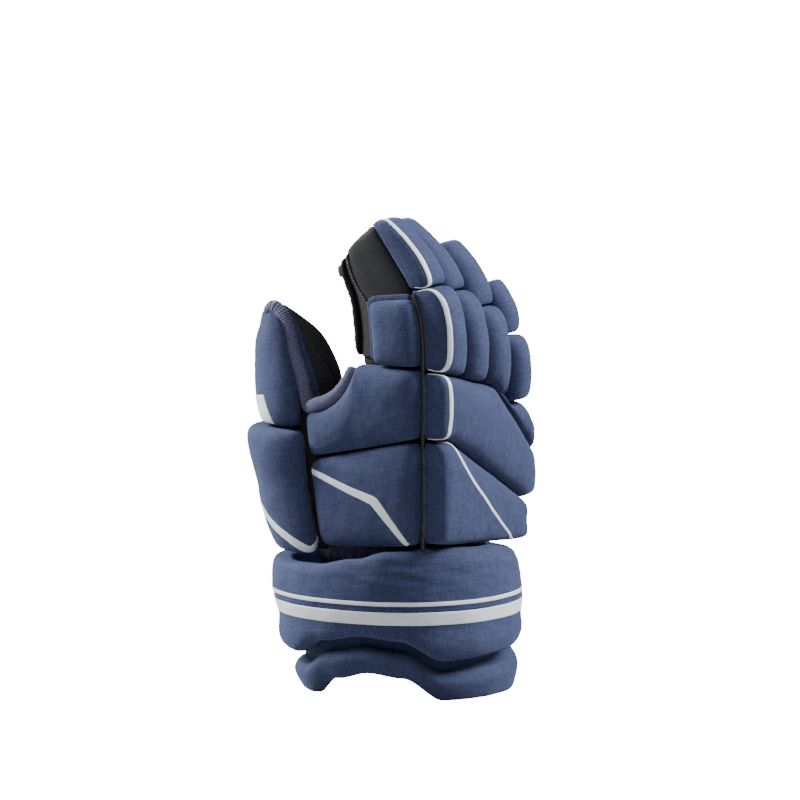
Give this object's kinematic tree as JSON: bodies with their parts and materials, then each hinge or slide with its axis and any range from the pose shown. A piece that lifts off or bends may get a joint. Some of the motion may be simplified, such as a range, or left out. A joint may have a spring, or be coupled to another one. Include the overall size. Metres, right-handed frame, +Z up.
{
  "type": "ice hockey glove",
  "caption": "Padded ice hockey glove for the right hand, standing on its cuff: finger rolls, hand and thumb pads, hollow hand, fingers and thumb, padded cuff band and flare.",
  "frame": {"origin": "on the ground, under the middle of the glove's box, with the glove standing on its cuff", "axes": "+Z up along the fingers, -Y the back of the hand, +Y the palm, -X the thumb and index side"},
  "size_m": [0.1516, 0.167, 0.3065],
  "materials": {
    "navy_cloth": "cross-woven polyester, slightly heathered",
    "leather": "thin black synthetic leather",
    "mesh": "fine black stretch mesh",
    "knit": "ribbed purple-grey knit",
    "white_trim": "satin white film and piping"
  },
  "bodies": {
    "root": {"hand_shell": "leather", "thumb_stall": "leather", "wrist_liner": "knit", "index_stall": "mesh", "middle_stall": "mesh", "ring_stall": "mesh", "little_stall": "mesh", "index_palm_strip": "leather", "middle_palm_strip": "leather", "ring_palm_strip": "leather", "little_palm_strip": "leather", "index_middle_roll": "navy_cloth", "index_tip_roll": "navy_cloth", "middle_middle_roll": "navy_cloth", "middle_tip_roll": "navy_cloth", "ring_middle_roll": "navy_cloth", "ring_tip_roll": "navy_cloth", "little_middle_roll": "navy_cloth", "little_tip_roll": "navy_cloth", "knuckle_pad": "navy_cloth", "lower_back_pad": "navy_cloth", "little_knuckle_pad": "navy_cloth", "upper_side_pad": "navy_cloth", "lower_side_pad": "navy_cloth", "outer_upper_pad": "navy_cloth", "outer_lower_pad": "navy_cloth", "index_side_pad": "navy_cloth", "little_side_pad": "navy_cloth", "thumb_upper_pad": "navy_cloth", "thumb_lower_pad": "navy_cloth", "thumb_binding": "knit", "cuff_band": "navy_cloth", "cuff_flare": "navy_cloth", "index_tip_piping": "white_trim", "index_middle_piping": "white_trim", "knuckle_piping": "white_trim", "back_stripe": "white_trim", "side_stripe": "white_trim", "thumb_stripe": "white_trim"}
  },
  "joints": []
}
